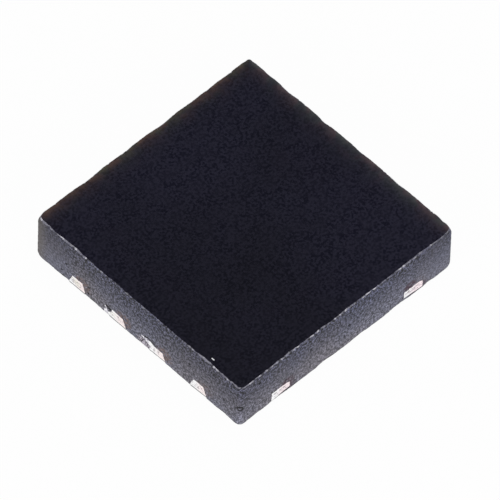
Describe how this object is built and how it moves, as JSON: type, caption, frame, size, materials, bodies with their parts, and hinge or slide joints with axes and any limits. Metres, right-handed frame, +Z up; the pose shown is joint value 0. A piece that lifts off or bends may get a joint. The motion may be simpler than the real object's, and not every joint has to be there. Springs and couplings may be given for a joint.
{
  "type": "ambient light sensor in a leadless package",
  "caption": "Flat square leadless sensor package of black moulding resin, with sawn sides, copper terminals flush with opposite edges, and a soldered pad underneath.",
  "frame": {"origin": "centre of the base, in the plane of the soldered undersides of the terminals and pad", "axes": "+Z up through the package's thickness, X across the two rows of terminals, Y along the rows. Terminal 1 is at -X, +Y"},
  "size_m": [0.004, 0.004, 0.0008],
  "materials": {
    "moulding_resin": "satin",
    "tinned_copper": "satin",
    "silver_adhesive": "matte",
    "silicon": "polished",
    "gold_wire": "gloss"
  },
  "bodies": {
    "root": {"package_body": "moulding_resin", "die_pad": "tinned_copper", "die_attach": "silver_adhesive", "sensing_die": "silicon", "terminal_1": "tinned_copper", "terminal_2": "tinned_copper", "terminal_3": "tinned_copper", "terminal_4": "tinned_copper", "terminal_5": "tinned_copper", "terminal_6": "tinned_copper", "terminal_7": "tinned_copper", "terminal_8": "tinned_copper", "bond_wire_1": "gold_wire", "bond_wire_2": "gold_wire", "bond_wire_3": "gold_wire", "bond_wire_4": "gold_wire", "bond_wire_5": "gold_wire", "bond_wire_6": "gold_wire", "bond_wire_7": "gold_wire", "bond_wire_8": "gold_wire"}
  },
  "joints": []
}
